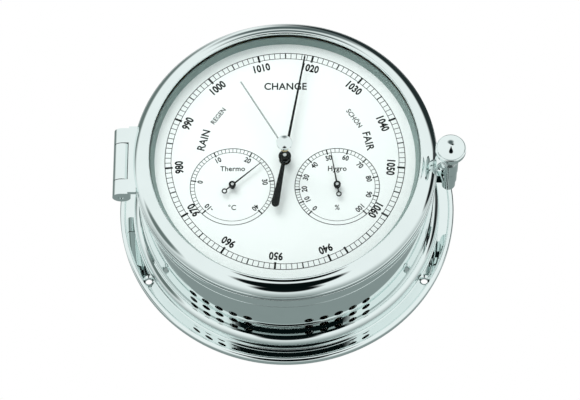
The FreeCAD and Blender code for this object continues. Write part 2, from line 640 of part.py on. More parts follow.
save("capsule_front", diaphragm(y_capsule, y_boss, 4.0))
save("capsule_rear", diaphragm(y_capsule, y_base, 4.0))
spring_x = 42.0
y_spring = 30.5
spring_thick = 1.5
spring_end = -4.0
post = joined([
    rod(5.0, y_spring - 2.0, y_base, spring_x + 1.0, 0),
    block(spring_x - 2.0, spring_x + 6.0, y_spring - 2.4, y_spring + spring_thick + 2.4, -7.5, 7.5),
])
clamp_clear = 0.3
y_slot0 = y_spring - clamp_clear
y_slot1 = y_spring + spring_thick + clamp_clear
post = post.cut(block(spring_x - 6.0, spring_x + 4.0, y_slot0, y_slot1, -6.4, 6.4))
save("spring_post", post)
spring = block(spring_end, spring_x + 3.0, y_spring, y_spring + spring_thick, -6.0, 6.0)
stud = rod(2.0, y_spring + spring_thick / 2, y_boss - 0.5)
save("main_spring", spring.fuse(stud).removeSplitter())
lever_end = rocker_x + 2.0
save("main_lever", joined([
    block(lever_end, 6.0, y_spring - 1.0, y_spring, -1.5, 1.5),
    block(lever_end, lever_end + 1.6, y_rocker + 0.8, y_spring, -1.5, 1.5),
]))
save("adjusting_screw", slotted_screw(0, 0, y_base + 9.0, -1, 4.0, 3.0, 2.5, 5.6))


def spiral(r0, pitch, turns, y0, y1, wall, x, z):
    """Spiral strip made of half-circle bands, each on a centre of its own."""
    strips = []
    for k in range(2 * turns):
        r = r0 + k * pitch / 2
        shift = pitch / 4 if k % 2 else -pitch / 4
        band = ring(r + wall / 2, r - wall / 2, y0, y1, x + shift, z)
        side = 1 if k % 2 else -1
        low = z if side > 0 else z - r - 2
        half = block(x - r - 3, x + r + 3, y0 - 1, y1 + 1, low, low + r + 2)
        strips.append(band.common(half))
    return joined(strips)


save("hairspring", spiral(2.4, 0.9, 5, y_front_bridge - 1.6, y_front_bridge - 0.9, 0.25, 0, 0))

# ---------------------------------------------------------------- thermometer and hygrometer
y_sub_hand = -2.4
sub_arbor_r = 0.8


def ring_tail_hand(reach, tail):
    """Small hand with a ring on its tail."""
    needle = polygon([(-0.45, 0), (-0.15, reach), (0.15, reach), (0.45, 0)], y_sub_hand, y_sub_hand + 0.3)
    neck = block(-0.3, 0.3, y_sub_hand, y_sub_hand + 0.3, -tail + 2.6, 0)
    loop = ring(1.5, 0.9, y_sub_hand, y_sub_hand + 0.3, 0, -tail + 1.5)
    hub = rod(1.9, y_sub_hand - 0.9, y_sub_hand + 0.5)
    return joined([needle, neck, loop, hub]).cut(rod(sub_arbor_r, y_sub_hand - 3, y_sub_hand + 3))


def moved(shape, x, z):
    copy = shape.copy()
    copy.translate(V(x, 0, z))
    return copy


y_coil = 4.2
coil_deep = 4.0
y_strap = 10.0
for name, side, rest in (("thermometer", -1, temperature_rest), ("hygrometer", 1, humidity_rest)):
    cx = side * sub_dial_x
    small = clockwise(ring_tail_hand(20.5, 7.0), rest)
    save(name + "_hand", moved(small, cx, sub_dial_z))
    save(name + "_arbor", rod(sub_arbor_r, y_sub_hand - 1.0, y_strap + 1.0, cx, sub_dial_z))
    save(name + "_coil", spiral(2.6, 1.6, 4, y_coil, y_coil + coil_deep, 0.4, cx, sub_dial_z))
    strap = joined([
        block(cx - 15, cx + 15, y_strap, y_strap + 1.2, sub_dial_z - 4, sub_dial_z + 4),
        block(cx - 15, cx - 13.6, dial_thick, y_strap, sub_dial_z - 4, sub_dial_z + 4),
        block(cx + 13.6, cx + 15, dial_thick, y_strap, sub_dial_z - 4, sub_dial_z + 4),
    ])
    strap = strap.cut(rod(sub_arbor_r + run_clear, y_strap - 1, y_strap + 3, cx, sub_dial_z))
    save(name + "_bracket", strap)

for name in sorted(made):
    shape = made[name]
    print(name, len(shape.Solids), "solids", round(shape.Volume / 1000, 3), "cm3", shape.isValid())
print(len(made), "nodes; sector mesh angle", round(sector_mesh, 3), "pin", round(pin_x, 3), round(pin_z, 3))
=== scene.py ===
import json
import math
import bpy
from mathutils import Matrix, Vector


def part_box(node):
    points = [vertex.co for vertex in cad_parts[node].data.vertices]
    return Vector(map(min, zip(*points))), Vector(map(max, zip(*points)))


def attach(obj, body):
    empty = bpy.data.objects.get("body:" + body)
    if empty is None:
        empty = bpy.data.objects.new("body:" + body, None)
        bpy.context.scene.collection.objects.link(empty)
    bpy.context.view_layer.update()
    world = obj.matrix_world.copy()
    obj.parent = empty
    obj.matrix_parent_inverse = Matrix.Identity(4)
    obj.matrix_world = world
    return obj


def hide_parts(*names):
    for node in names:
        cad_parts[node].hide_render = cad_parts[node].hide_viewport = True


bl_info = {
    "name": "Ship barometer",
    "version": (1, 0, 0),
    "blender": (4, 5, 0),
    "location": "View3D > Sidebar > Barometer",
    "description": "Bulkhead barometer with thermometer and hygrometer, its dial print and its chrome",
    "category": "Object",
}

import bpy
from mathutils import Matrix, Vector

for leftover in ("Cube", "Light", "Camera"):
    if leftover in bpy.data.objects:
        bpy.data.objects.remove(bpy.data.objects[leftover])
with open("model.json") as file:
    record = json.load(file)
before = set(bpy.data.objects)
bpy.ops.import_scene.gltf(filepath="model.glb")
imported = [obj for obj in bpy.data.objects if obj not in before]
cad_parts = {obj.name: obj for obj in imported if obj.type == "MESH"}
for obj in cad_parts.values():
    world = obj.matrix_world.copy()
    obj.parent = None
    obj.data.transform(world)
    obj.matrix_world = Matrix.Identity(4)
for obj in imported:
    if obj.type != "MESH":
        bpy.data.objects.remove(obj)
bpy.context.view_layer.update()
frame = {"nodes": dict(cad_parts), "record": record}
MM = 0.001
DIAL_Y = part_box("dial")[0].y
JOINTS = {joint["name"]: joint for joint in frame["record"]["behaviour"]["joints"]}
SUB_DIALS = {
    "thermometer": Vector(JOINTS["temperature_turn"]["pos_m"]),
    "hygrometer": Vector(JOINTS["humidity_turn"]["pos_m"]),
}
LOCK = (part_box("lock_screw")[0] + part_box("lock_screw")[1]) / 2

# pressure scale: hectopascals and degrees, clockwise from the top of the dial
LOWEST_PRESSURE = 940
HIGHEST_PRESSURE = 1060
TOP_PRESSURE = 1015
PRESSURE_STEP = 2.7
PRESSURE_MARKS = 133          # as many as fit all the way round

# small scales
CELSIUS_RANGE = (-10, 40)
CELSIUS_STEP = 5.4
CELSIUS_ZERO = -81
HUMIDITY_RANGE = (0, 100)

# air holes in the drum: degrees clockwise from the top, and millimetres behind the dial
VENT_MIDDLE = 182.66
VENT_FIRST = 11.74
VENT_PITCH = 5.83
VENT_COLUMNS = 5
VENT_ROWS = 3
VENT_ROW_FIRST = 32.5
VENT_ROW_PITCH = 8.3

# wall flange
SCREW_CIRCLE = 0.0874
BACK_SCREW_CIRCLE = 0.0759

# view
CAMERA_PLACE = (0.0281, -1.5131, -0.7048)
CAMERA_LENS = 186.2
CAMERA_TILT = -25.1775
CAMERA_SWING = 1.0
CAMERA_ROLL = -0.3004
FLOOR_Z = -1.25


# ---------------------------------------------------------------- sizes and colours a user would change
class BarometerSizes(bpy.types.PropertyGroup):
    turn_steps: bpy.props.IntProperty(
        name="Steps of a turned piece", description="Faces round a turned piece", default=192, min=48, max=360)
    scale_radius: bpy.props.FloatProperty(
        name="Scale radius", description="Outer circle of the pressure scale", default=0.0645, unit="LENGTH")
    scale_inner: bpy.props.FloatProperty(
        name="Scale inner radius", description="Inner circle of the pressure scale", default=0.0612, unit="LENGTH")
    number_radius: bpy.props.FloatProperty(
        name="Number radius", description="Middle of the pressure numbers", default=0.0567, unit="LENGTH")
    number_height: bpy.props.FloatProperty(
        name="Number height", description="Height of the pressure numbers", default=0.0043, unit="LENGTH")
    sub_radius: bpy.props.FloatProperty(
        name="Small scale radius", description="Outer circle of the two small scales", default=0.0226, unit="LENGTH")
    sub_inner: bpy.props.FloatProperty(
        name="Small scale inner radius", description="Inner circle of the small scales", default=0.0203, unit="LENGTH")
    print_height: bpy.props.FloatProperty(
        name="Print height", description="Thickness of the dial's ink", default=0.00004, unit="LENGTH")
    vent_radius: bpy.props.FloatProperty(
        name="Vent radius", description="Radius of an air hole in the drum", default=0.0025, unit="LENGTH")


class BarometerColours(bpy.types.PropertyGroup):
    chrome: bpy.props.FloatVectorProperty(
        name="Chrome", description="Tint of the polished chrome", default=(0.80, 0.87, 0.86), subtype="COLOR")
    dial_white: bpy.props.FloatVectorProperty(
        name="Dial white", description="Ground of the dial", default=(0.93, 0.95, 0.95), subtype="COLOR")
    ink: bpy.props.FloatVectorProperty(
        name="Ink", description="Print on the dial", default=(0.003, 0.004, 0.004), subtype="COLOR")
    ring_grey: bpy.props.FloatVectorProperty(
        name="Dial ring", description="Matt ring round the dial", default=(0.26, 0.34, 0.325), subtype="COLOR")
    brass: bpy.props.FloatVectorProperty(
        name="Brass", description="Movement plates and wheels", default=(0.72, 0.52, 0.22), subtype="COLOR")
    rubber: bpy.props.FloatVectorProperty(
        name="Rubber", description="Seal and gasket", default=(0.02, 0.021, 0.022), subtype="COLOR")


# ---------------------------------------------------------------- materials
def new_material(slot_name):
    """An empty finish for a slot, or the one that was made before, without its nodes."""
    name = slot_name + "_finish"
    finish = bpy.data.materials.get(name)
    if finish:
        return finish, None, None, None
    finish = bpy.data.materials.new(name)
    finish.use_nodes = True
    nodes = finish.node_tree.nodes
    return finish, nodes, finish.node_tree.links, nodes["Principled BSDF"]


def speckle(nodes, links, shader, colour, scale, low, high, shade=0.06, bump=0.0, squeeze=(1, 1, 1)):
    """Fine uneven wear: a noise in the piece's own space drives roughness, a little colour and a little height."""
    place = nodes.new("ShaderNodeTexCoord")
    mapping = nodes.new("ShaderNodeMapping")
    mapping.inputs["Scale"].default_value = squeeze
    noise = nodes.new("ShaderNodeTexNoise")
    noise.inputs["Scale"].default_value = scale
    noise.inputs["Detail"].default_value = 4.0
    links.new(place.outputs["Object"], mapping.inputs["Vector"])
    links.new(mapping.outputs["Vector"], noise.inputs["Vector"])
    rough = nodes.new("ShaderNodeMapRange")
    rough.inputs["To Min"].default_value = low
    rough.inputs["To Max"].default_value = high
    links.new(noise.outputs["Fac"], rough.inputs["Value"])
    links.new(rough.outputs["Result"], shader.inputs["Roughness"])
    ramp = nodes.new("ShaderNodeValToRGB")
    ramp.color_ramp.elements[0].position = 0.3
    ramp.color_ramp.elements[1].position = 0.7
    ramp.color_ramp.elements[0].color = tuple(c * (1 - shade) for c in colour) + (1,)
    ramp.color_ramp.elements[1].color = tuple(min(1.0, c * (1 + shade * 0.4)) for c in colour) + (1,)
    links.new(noise.outputs["Fac"], ramp.inputs["Fac"])
    links.new(ramp.outputs["Color"], shader.inputs["Base Color"])
    if bump:
        height = nodes.new("ShaderNodeBump")
        height.inputs["Strength"].default_value = bump
        height.inputs["Distance"].default_value = 0.0002
        links.new(noise.outputs["Fac"], height.inputs["Height"])
        links.new(height.outputs["Normal"], shader.inputs["Normal"])


def metal(name, colour, scale, low, high, shade=0.04, bump=0.0, squeeze=(1, 1, 1)):
    """Bare or plated metal."""
    finish, nodes, links, shader = new_material(name)
    if nodes:
        shader.inputs["Metallic"].default_value = 1.0
        speckle(nodes, links, shader, colour, scale, low, high, shade, bump, squeeze)
    return finish


def paint(name, colour, scale, low, high, shade=0.05, bump=0.0, gloss=0.5):
    """Enamel, lacquer or rubber."""
    finish, nodes, links, shader = new_material(name)
    if nodes:
        shader.inputs["Specular IOR Level"].default_value = gloss
        speckle(nodes, links, shader, colour, scale, low, high, shade, bump)
    return finish


def clear_glass():
    """Polished window glass: it lets the dial through and mirrors more towards its edge."""
    finish, nodes, links, shader = new_material("clear_glass")
    if nodes:
        through = nodes.new("ShaderNodeBsdfTransparent")
        through.inputs["Color"].default_value = (0.985, 0.995, 0.99, 1)
        shine = nodes.new("ShaderNodeBsdfGlossy")
        shine.inputs["Roughness"].default_value = 0.01
        shine.inputs["Color"].default_value = (0.9, 0.95, 0.95, 1)
        slant = nodes.new("ShaderNodeLayerWeight")
        slant.inputs["Blend"].default_value = 0.5
        edge = nodes.new("ShaderNodeMapRange")
        edge.interpolation_type = "SMOOTHSTEP"
        edge.inputs["From Min"].default_value = 0.25
        edge.inputs["To Min"].default_value = 0.004
        edge.inputs["To Max"].default_value = 0.5
        links.new(slant.outputs["Facing"], edge.inputs["Value"])
        mix = nodes.new("ShaderNodeMixShader")
        links.new(edge.outputs["Result"], mix.inputs["Fac"])
        links.new(through.outputs["BSDF"], mix.inputs[1])
        links.new(shine.outputs["BSDF"], mix.inputs[2])
        links.new(mix.outputs["Shader"], nodes["Material Output"].inputs["Surface"])
        nodes.remove(shader)
    return finish


def finish_for(slot_name):
    """The material of one of the record's slots."""
    colours = bpy.context.scene.barometer_colours
    chrome = tuple(colours.chrome)
    brass = tuple(colours.brass)
    makers = {
        "polished_chrome": lambda: metal("polished_chrome", chrome, 90, 0.008, 0.03, 0.02),
        "black_rubber": lambda: paint("black_rubber", tuple(colours.rubber), 900, 0.55, 0.8, 0.2, 0.3, 0.3),
        "white_enamel": lambda: paint("white_enamel", tuple(colours.dial_white), 700, 0.42, 0.55, 0.012, 0.05, 0.25),
        "grey_enamel": lambda: paint("grey_enamel", tuple(colours.ring_grey), 1200, 0.45, 0.6, 0.07, 0.2, 0.3),
        "black_lacquer": lambda: paint("black_lacquer", tuple(colours.ink), 600, 0.42, 0.58, 0.2, 0.05, 0.2),
        "silver_metal": lambda: metal("silver_metal", (0.42, 0.45, 0.45), 800, 0.2, 0.34, 0.06),
        "clear_glass": clear_glass,
        "movement_brass": lambda: metal("movement_brass", brass, 500, 0.2, 0.42, 0.1, 0.1, (1, 1, 14)),
        "capsule_metal": lambda: metal("capsule_metal", (0.62, 0.60, 0.52), 300, 0.25, 0.45, 0.1, 0.15),
        "spring_steel": lambda: metal("spring_steel", (0.20, 0.24, 0.32), 400, 0.2, 0.38, 0.15),
        # painted shade: the back steel gets a near-black paint so the inside of the case, seen through the air holes,
        # shows dark as it does in shade
        "back_steel": lambda: paint("back_steel", (0.05, 0.055, 0.055), 1100, 0.4, 0.62, 0.2, 0.35, 0.5),
        "steel": lambda: metal("steel", (0.60, 0.62, 0.62), 600, 0.16, 0.34, 0.07, 0.06, (1, 8, 1)),
    }
    return makers[slot_name]()


def dress(piece, slot_name, body, *nodes):
    """Gives a new piece its finish, its body and the CAD nodes that it stands for."""
    piece.data.materials.clear()
    piece.data.materials.append(finish_for(slot_name))
    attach(piece, body)
    if nodes:
        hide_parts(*nodes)
    return piece


# ---------------------------------------------------------------- modelling helpers
def start():
    """Leaves edit mode and selects nothing."""
    if bpy.context.object and bpy.context.object.mode != "OBJECT":
        bpy.ops.object.mode_set(mode="OBJECT")
    bpy.ops.object.select_all(action="DESELECT")


def settle(piece, name):
    """Puts the place into the mesh and names the piece."""
    start()
    piece.select_set(True)
    bpy.context.view_layer.objects.active = piece
    bpy.ops.object.transform_apply(location=True, rotation=True, scale=True)
    piece.name = name
    piece.data.name = name
    return piece


def bend(x0, y0, x1, y1, bulge, count=8):
    """Places along an arc between two outline points; bulge is its height over the chord, positive to the left."""
    chord = math.hypot(x1 - x0, y1 - y0)
    radius = (chord * chord / 4 + bulge * bulge) / (2 * abs(bulge))
    half = math.asin(min(1.0, chord / 2 / radius))
    mid = Vector(((x0 + x1) / 2, (y0 + y1) / 2))
    left = Vector((-(y1 - y0), x1 - x0)) / chord * math.copysign(1, bulge)
    centre = mid - left * (radius - abs(bulge))
    first = Vector((x0, y0)) - centre
    turn = -math.copysign(1, bulge) * 2 * half
    places = []
    for k in range(1, count):
        a = turn * k / count
        c, s = math.cos(a), math.sin(a)
        places.append((centre.x + c * first.x - s * first.y, centre.y + s * first.x + c * first.y))
    return places


def rounded(outline):
    """Outline of (r, y) places; a place (r, y, bulge) is reached along an arc."""
    places = []
    for place in outline:
        if len(place) == 3 and places:
            places += bend(*places[-1], place[0], place[1], place[2])
        places.append((place[0], place[1]))
    return places


def turned(name, outline, centre=(0.0, 0.0), steps=None, sharp=28):
    """Extrudes a closed outline of (radius, depth) millimetres point by point and spins it about the Y axis."""
    steps = steps or bpy.context.scene.barometer_sizes.turn_steps
    places = [Vector((centre[0] + r * MM, DIAL_Y + y * MM, centre[1])) for r, y in rounded(outline)]
    start()
    bpy.ops.mesh.primitive_plane_add(size=0.001)
    piece = bpy.context.object
    bpy.ops.object.mode_set(mode="EDIT")
    bpy.ops.mesh.merge(type="CENTER")
    bpy.ops.transform.translate(value=places[0])
    for here, there in zip(places, places[1:] + places[:1]):
        bpy.ops.mesh.extrude_region_move(TRANSFORM_OT_translate={"value": there - here})
    bpy.ops.mesh.select_all(action="SELECT")
    bpy.ops.mesh.remove_doubles(threshold=1e-7)
    bpy.ops.mesh.select_all(action="SELECT")
    middle = (centre[0], 0, centre[1])
    bpy.ops.mesh.spin(steps=steps, angle=2 * math.pi, center=middle, axis=(0, 1, 0), use_auto_merge=True)
    bpy.ops.mesh.select_all(action="SELECT")
    bpy.ops.mesh.remove_doubles(threshold=2e-7)
    bpy.ops.mesh.normals_make_consistent(inside=False)
    bpy.ops.object.mode_set(mode="OBJECT")
    bpy.ops.object.shade_smooth_by_angle(angle=math.radians(sharp))
    return settle(piece, name)


def smoothed_copy(name, node, sharp=32):
    """The CAD shape as a piece of its own, its loose triangles joined and its curves smooth."""
    start()
    source = frame["nodes"][node]
    piece = source.copy()
    piece.data = source.data.copy()
    for key in list(piece.keys()):
        del piece[key]
    piece.parent = None
    bpy.context.scene.collection.objects.link(piece)
    piece.select_set(True)
    bpy.context.view_layer.objects.active = piece
    bpy.ops.object.mode_set(mode="EDIT")
    bpy.ops.mesh.select_all(action="SELECT")
    bpy.ops.mesh.remove_doubles(threshold=1e-6)
    bpy.ops.mesh.tris_convert_to_quads()
    bpy.ops.object.mode_set(mode="OBJECT")
    bpy.ops.mesh.customdata_custom_splitnormals_clear()
    bpy.ops.object.shade_smooth_by_angle(angle=math.radians(sharp))
    return settle(piece, name)


def drill(piece, cutters):
    """Cuts the cutters out of a piece and removes them."""
    start()
    for cutter in cutters:
        cutter.select_set(True)
    bpy.context.view_layer.objects.active = cutters[0]
    if len(cutters) > 1:
        bpy.ops.object.join()
    cutter = bpy.context.object
    start()
    piece.select_set(True)
    bpy.context.view_layer.objects.active = piece
    cut = piece.modifiers.new("cut", "BOOLEAN")
    cut.operation = "DIFFERENCE"
    cut.solver = "EXACT"
    cut.object = cutter
    bpy.ops.object.modifier_apply(modifier=cut.name)
    bpy.data.objects.remove(cutter)
    bpy.ops.object.shade_smooth_by_angle(angle=math.radians(28))


def straight_drill(radius, depth, place, direction):
    """A round cutter with its middle at a place."""
    start()
    bpy.ops.mesh.primitive_cylinder_add(vertices=40, radius=radius, depth=depth)
    cutter = bpy.context.object
    turn = Vector(direction).to_track_quat("Z", "Y").to_matrix().to_4x4()
    cutter.data.transform(Matrix.Translation(place) @ turn)
    return cutter


def around(degrees, radius):
    """X and Z of a place on a circle, clockwise from the top."""
    a = math.radians(degrees)
    return radius * math.sin(a), radius * math.cos(a)


# ---------------------------------------------------------------- case
class BAROMETER_OT_case_drum(bpy.types.Operator):
    """Turns the drum and drills its two fields of air holes"""
    bl_idname = "barometer.case_drum"
    bl_label = "Case drum"

    def execute(self, context):
        drum = turned("drum", [
            (79.2, 12.05), (80.75, 12.05), (81.0, 12.3, 0.1), (81.0, 22.0), (81.0, 32.0), (81.0, 42.0),
            (81.0, 52.0), (81.0, 60.5), (79.2, 60.5), (79.2, 46.0), (79.2, 30.0),
        ], steps=240)
        cutters = []
        for side in (-1, 1):
            for column in range(VENT_COLUMNS):
                angle = VENT_MIDDLE + side * (VENT_FIRST + column * VENT_PITCH)
                for row in range(VENT_ROWS):
                    x, z = around(angle, 0.0801)
                    place = Vector((x, DIAL_Y + (VENT_ROW_FIRST + row * VENT_ROW_PITCH) * MM, z))
                    radius = context.scene.barometer_sizes.vent_radius
                    cutters.append(straight_drill(radius, 0.006, place, (x, 0, z)))
        drill(drum, cutters)
        dress(drum, "polished_chrome", "case", "case_drum")
        return {"FINISHED"}


class BAROMETER_OT_wall_flange(bpy.types.Operator):
    """Turns the wall flange with its bead and rolled edge, and sinks its three screw holes"""
    bl_idname = "barometer.wall_flange"
    bl_label = "Wall flange"

    def execute(self, context):
        flange = turned("flange", [
            (77.8, 65.0), (92.2, 65.0), (92.5, 64.7, 0.1), (92.5, 63.0), (90.9, 60.5, 0.75), (89.4, 61.6, 0.5),
            (85.3, 61.6), (84.5, 60.8, -0.3), (84.5, 59.4), (81.7, 52.8, 1.0), (81.05, 52.8), (81.0, 60.5),
            (74.0, 60.5), (74.0, 63.0), (77.8, 63.0),
        ], steps=288)
        cutters = []
        for k in range(3):
            sink = [(0, 58.4), (3.04, 58.4), (3.04, 61.56), (1.9, 62.7), (1.9, 66.0), (0, 66.0)]
            cutters.append(turned("sink", sink, around(120 * k, SCREW_CIRCLE), 48))
            x, z = around(60 + 120 * k, BACK_SCREW_CIRCLE)
            cutters.append(straight_drill(0.001, 0.006, Vector((x, DIAL_Y + 0.0625, z)), (0, 1, 0)))
        drill(flange, cutters)
        dress(flange, "polished_chrome", "case", "wall_flange")
        return {"FINISHED"}


class BAROMETER_OT_front_ring(bpy.types.Operator):
    """Turns the front ring of the case with its rim and the groove for the seal"""
    bl_idname = "barometer.front_ring"
    bl_label = "Front ring"

    def execute(self, context):
        ring = turned("front_rim", [
            (70.6, 1.2), (74.2, 1.2), (74.2, 1.0), (78.8, 1.0), (78.8, 2.6), (80.6, 2.6), (80.6, 1.0), (81.7, 1.0),
            (82.0, 1.3, 0.1), (82.0, 3.1), (81.2, 4.3, 0.25), (81.0, 5.4), (81.0, 11.5), (80.7, 11.9, 0.1),
            (79.15, 11.9), (79.15, 16.5), (77.5, 16.5), (77.5, 4.2), (70.6, 4.2),
        ], steps=240)
        dress(ring, "polished_chrome", "case", "front_ring")
        return {"FINISHED"}


# ---------------------------------------------------------------- door
class BAROMETER_OT_door_ring(bpy.types.Operator):
    """Turns the door ring with its rolled shoulder and the lip that holds the glass"""
    bl_idname = "barometer.door_ring"
    bl_label = "Door ring"

    def execute(self, context):
        ring = turned("door_rim", [
            (78.3, 0.05), (81.6, 0.05), (81.9, -0.25, 0.1), (81.9, -1.4), (81.5, -2.1, 0.12), (74.2, -7.5, 1.35),
            (72.7, -6.9, 0.5), (72.7, -6.3), (76.2, -6.3), (76.2, -2.2), (78.3, -2.2),
        ], steps=288)
        dress(ring, "polished_chrome", "door", "bezel_ring")
        return {"FINISHED"}


class BAROMETER_OT_glass(bpy.types.Operator):
    """Spins the domed glass with its flat rim and the hole for the set hand"""
    bl_idname = "barometer.glass"
    bl_label = "Domed glass"

    def execute(self, context):
        rise = 11.3
        edge = 72.7
        ball = (edge ** 2 + rise ** 2) / (2 * rise)
        crest = -6.3 - rise
        outer = [(r, crest + ball - math.sqrt(ball ** 2 - r ** 2)) for r in
                 (1.6, 8, 16, 24, 32, 40, 48, 56, 64, 70, 72.45)]
        inner_ball = ball - 2.0
        rim = math.sqrt(inner_ball ** 2 - (crest + ball + 4.3) ** 2)
        radii = (rim, 66, 58, 50, 42, 34, 26, 18, 10, 1.6)
        inner = [(r, crest + ball - math.sqrt(inner_ball ** 2 - r ** 2)) for r in radii]
        outline = outer + [(72.45, -6.3), (76.05, -6.3), (76.05, -4.3)] + inner
        glass = turned("domed_glass", outline, steps=192)
        dress(glass, "clear_glass", "door", "glass")
        return {"FINISHED"}


class BAROMETER_OT_knobs(bpy.types.Operator):
    """Turns the lock knob and the knob of the set hand"""
    bl_idname = "barometer.knobs"
    bl_label = "Knobs"

    def execute(self, context):
        lock = turned("lock_knob_turned", [
            (0, -22.6), (7.3, -20.2, 0.62), (8.1, -19.2, 0.25), (8.1, -16.4), (7.0, -15.2, 0.3), (3.75, -15.2),
            (3.75, -5.25), (2.5, -5.25), (2.5, 12.7), (1.9, 13.3), (0, 13.3),
        ], (LOCK.x, LOCK.z), 96)
        dress(lock, "polished_chrome", "lock_knob", "lock_screw")
        knob = turned("set_knob_turned", [
            (0, -13.7), (1.0, -13.7), (1.0, -18.2), (2.5, -18.2), (2.5, -18.8), (4.25, -19.8, -0.2), (4.25, -20.7),
            (3.9, -21.1, 0.12), (0, -22.1, 0.1),
        ], (0, 0), 72)
        dress(knob, "polished_chrome", "set_pointer", "set_knob")
        return {"FINISHED"}


class BAROMETER_OT_fittings(bpy.types.Operator):
    """Smooths the hinge leaves, the lock's ear and lug, the hands and the dial ring"""
    bl_idname = "barometer.fittings"
    bl_label = "Hinge, lock and hands"

    def execute(self, context):
        bodies = frame["record"]["behaviour"]["bodies"]
        slots = {part["node"]: part["material_slot"] for part in frame["record"]["subparts"]}
        for node in ("case_hinge_leaf", "door_hinge_leaf", "lock_lug", "lock_ear", "lock_washer", "hinge_pin",
                     "glass_bush", "hand_hub", "hand_bush", "dial_ring", "capsule_front", "capsule_rear"):
            body = next(name for name, members in bodies.items() if node in members)
            dress(smoothed_copy(node + "_smooth", node), slots[node], body, node)
        return {"FINISHED"}


# ---------------------------------------------------------------- dial print
def flat_plate(name, corners, y, height):
    """A thin plate of ink from its corners in the dial's plane."""
    start()
    bpy.ops.mesh.primitive_circle_add(vertices=len(corners), radius=0.01, fill_type="NGON")
    piece = bpy.context.object
    for vertex, (x, z) in zip(piece.data.vertices, corners):
        vertex.co = (x, y, z)
    bpy.ops.object.mode_set(mode="EDIT")
    bpy.ops.mesh.select_all(action="SELECT")
    bpy.ops.mesh.extrude_region_move(TRANSFORM_OT_translate={"value": (0, -height, 0)})
    bpy.ops.mesh.select_all(action="SELECT")
    bpy.ops.mesh.normals_make_consistent(inside=False)
    bpy.ops.object.mode_set(mode="OBJECT")
    piece.name = name
    return piece


def stroke(angle, r0, r1, width, centre, y, height):
    """One radial mark on a scale."""
    out = Vector(around(angle, 1.0))
    side = Vector((out.y, -out.x)) * width / 2
    middle = Vector((centre[0], centre[1]))
    corners = [middle + out * r0 - side, middle + out * r0 + side, middle + out * r1 + side, middle + out * r1 - side]
    return flat_plate("mark", [tuple(c) for c in corners], y, height)


def printed_circle(radius, width, centre, y, height):
    """One circle of a scale, as a flat turned ring of ink."""
    y_low = (y - DIAL_Y) / MM
    y_top = (y - DIAL_Y) / MM - height / MM
    r, half = radius / MM, width / MM / 2
    outline = [(r - half, y_low), (r + half, y_low), (r + half, y_top), (r - half, y_top)]
    return turned("circle", outline, centre, 180 if radius > 0.03 else 96)


def word(text, height, place, degrees, y, thick, bold, stretch):
    """A word or number of the dial's print, upright along the given direction."""
    start()
    bpy.ops.object.text_add()
    piece = bpy.context.object
    piece.data.body = text
    piece.data.align_x = "CENTER"
    piece.data.align_y = "CENTER"
    piece.data.size = height * 1.38
    piece.data.offset = bold
    piece.data.resolution_u = 4
    piece.data.space_character = 1.04
    bpy.ops.object.convert(target="MESH")
    piece = bpy.context.object
    piece.data.transform(Matrix.Diagonal((stretch, 1, 1, 1)))
    bpy.ops.object.mode_set(mode="EDIT")
    bpy.ops.mesh.select_all(action="SELECT")
    bpy.ops.mesh.remove_doubles(threshold=1e-7)
    bpy.ops.mesh.extrude_region_move(TRANSFORM_OT_translate={"value": (0, 0, thick)})
    bpy.ops.mesh.select_all(action="SELECT")
    bpy.ops.mesh.normals_make_consistent(inside=False)
    bpy.ops.object.mode_set(mode="OBJECT")
    stand = Matrix.Rotation(math.radians(90), 4, "X")
    turn = Matrix.Rotation(math.radians(degrees), 4, "Y")
    piece.data.transform(Matrix.Translation((place[0], y, place[1])) @ turn @ stand)
    return piece


def print_piece(parts, name):
    """Joins marks and words into one printed piece of the dial."""
    start()
    for part in parts:
        part.select_set(True)
    bpy.context.view_layer.objects.active = parts[0]
    bpy.ops.object.join()
    piece = settle(bpy.context.object, name)
    return dress(piece, "black_lacquer", "case")


def pressure_angle(value):
    """Angle of a pressure on the large scale."""
    return (value - TOP_PRESSURE) * PRESSURE_STEP


class BAROMETER_OT_pressure_scale(bpy.types.Operator):
    """Prints the pressure scale: two circles, a mark for each hectopascal and a number for each ten"""
    bl_idname = "barometer.pressure_scale"
    bl_label = "Pressure scale"

    def execute(self, context):
        sizes = context.scene.barometer_sizes
        outer, inner, high = sizes.scale_radius, sizes.scale_inner, sizes.print_height
        parts = [printed_circle(outer, 0.0004, (0, 0), DIAL_Y, high),
                 printed_circle(inner, 0.00032, (0, 0), DIAL_Y, high)]
        for value in range(LOWEST_PRESSURE, LOWEST_PRESSURE + PRESSURE_MARKS):
            angle = pressure_angle(value)
            if value % 10 == 0:
                parts.append(stroke(angle, inner - 0.0008, outer, 0.0011, (0, 0), DIAL_Y, high * 1.1))
            elif value % 5 == 0:
                parts.append(stroke(angle, inner, outer, 0.00065, (0, 0), DIAL_Y, high * 1.1))
            else:
                parts.append(stroke(angle, inner, outer, 0.00034, (0, 0), DIAL_Y, high * 1.1))
        print_piece(parts, "pressure_scale")
        numbers = []
        for value in range(LOWEST_PRESSURE, HIGHEST_PRESSURE + 1, 10):
            angle = pressure_angle(value)
            place = around(angle, sizes.number_radius)
            numbers.append(word(str(value), sizes.number_height, place, angle, DIAL_Y, high, 0.00022, 0.80))
        print_piece(numbers, "pressure_numbers")
        return {"FINISHED"}


class BAROMETER_OT_dial_words(bpy.types.Operator):
    """Prints the weather words round the dial"""
    bl_idname = "barometer.dial_words"
    bl_label = "Weather words"

    def execute(self, context):
        high = context.scene.barometer_sizes.print_height
        words = [
            ("CHANGE", 0.0042, 0.0440, 0), ("RAIN", 0.0042, 0.0452, -75), ("REGEN", 0.0027, 0.0446, -54),
            ("SCHÖN", 0.0027, 0.0446, 56.5), ("FAIR", 0.0042, 0.0460, 76),
        ]
        parts = []
        for text, height, radius, angle in words:
            bold = 0.00012 if height > 0.003 else 0.00006
            parts.append(word(text, height, around(angle, radius), angle, DIAL_Y, high, bold, 0.95))
        print_piece(parts, "weather_words")
        return {"FINISHED"}


